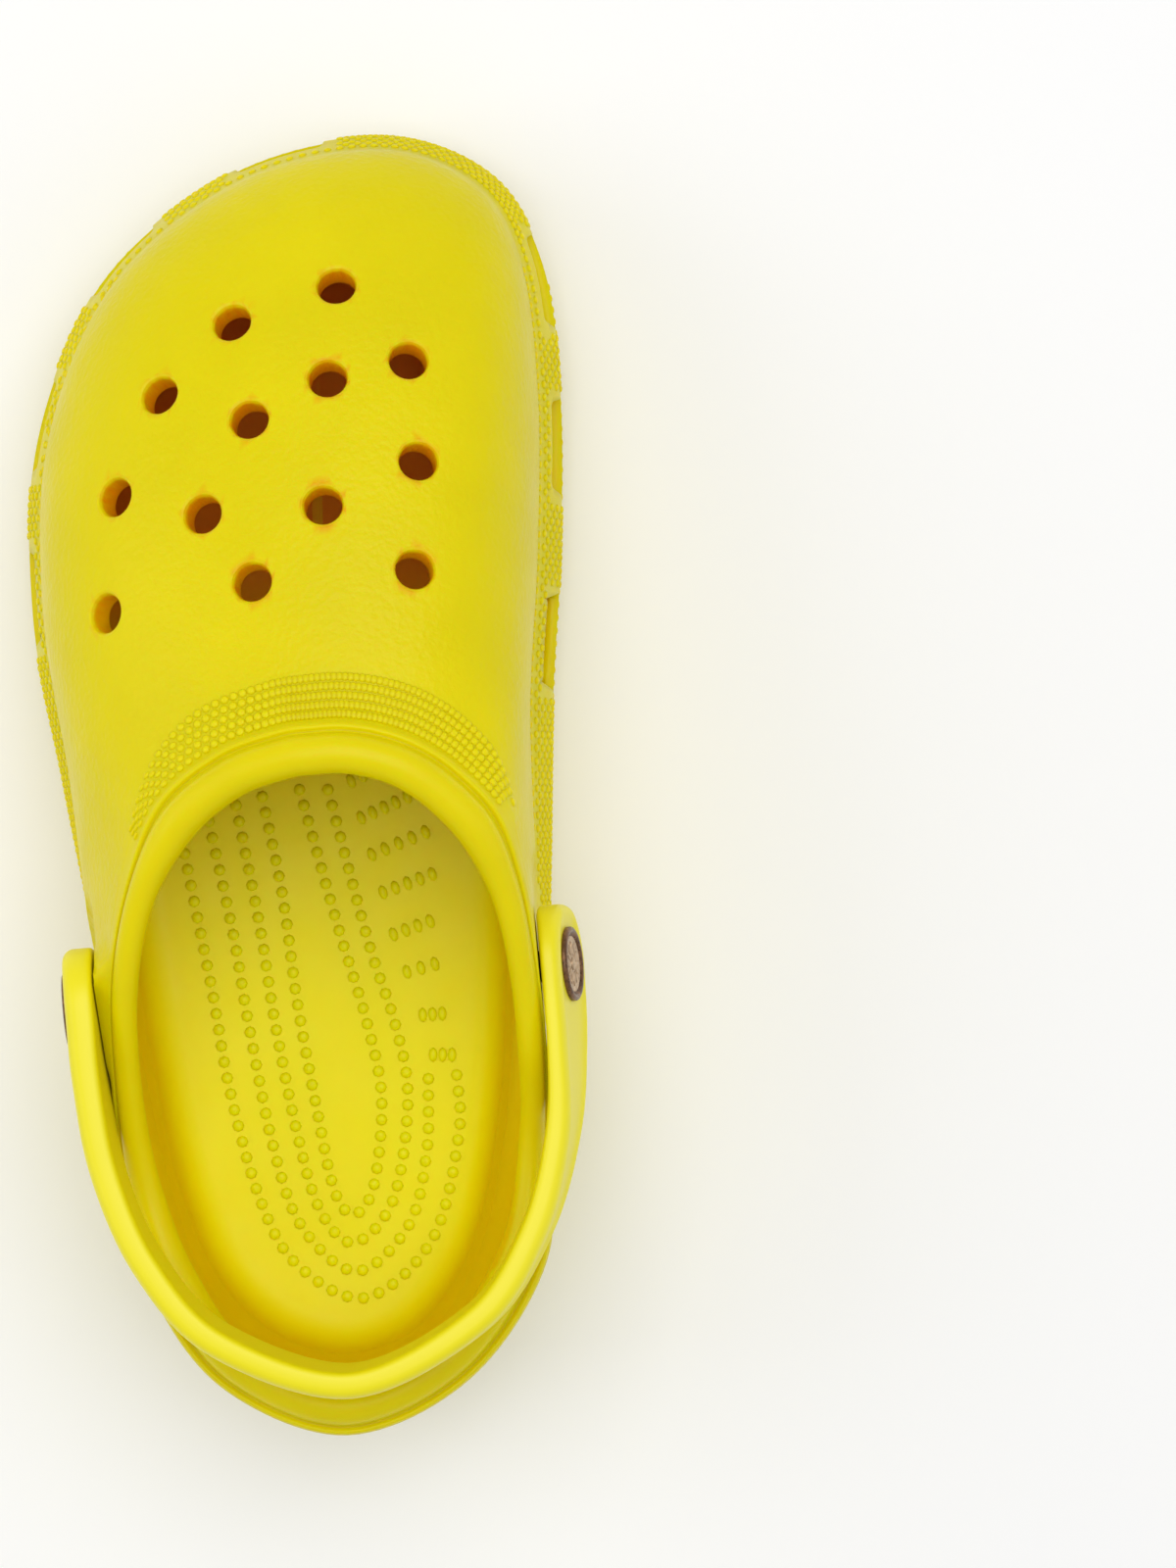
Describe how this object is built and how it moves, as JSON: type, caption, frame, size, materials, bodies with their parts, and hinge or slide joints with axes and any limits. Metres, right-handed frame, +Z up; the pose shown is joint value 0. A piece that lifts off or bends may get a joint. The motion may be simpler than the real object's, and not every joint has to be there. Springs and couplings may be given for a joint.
{
  "type": "garden clog",
  "caption": "Moulded foam slip-on garden clog for the left foot, with round vents, a nubbed footbed and a heel strap that swings on two rivets.",
  "frame": {"origin": "on the ground under the middle of the clog's bounding box", "axes": "+Y from heel to toe, +X to the big-toe (medial) side, +Z up"},
  "size_m": [0.1289, 0.2906, 0.1041],
  "materials": {
    "foam": "satin",
    "strap_foam": "satin",
    "rivet": "gloss",
    "badge": "satin"
  },
  "bodies": {
    "clog": {"clog_body": "foam"},
    "strap": {"heel_strap": "strap_foam", "rivet_cap_medial": "rivet", "rivet_badge_medial": "badge", "rivet_stud_medial": "rivet", "rivet_cap_lateral": "rivet", "rivet_badge_lateral": "badge", "rivet_stud_lateral": "rivet"}
  },
  "joints": [
    {"name": "strap_swing", "type": "hinge", "parent": "clog", "child": "strap", "pos_m": [0.0057, -0.0477, 0.067], "axis": [-0.9957, -0.0924, 0], "range_deg": [0, 125]}
  ]
}
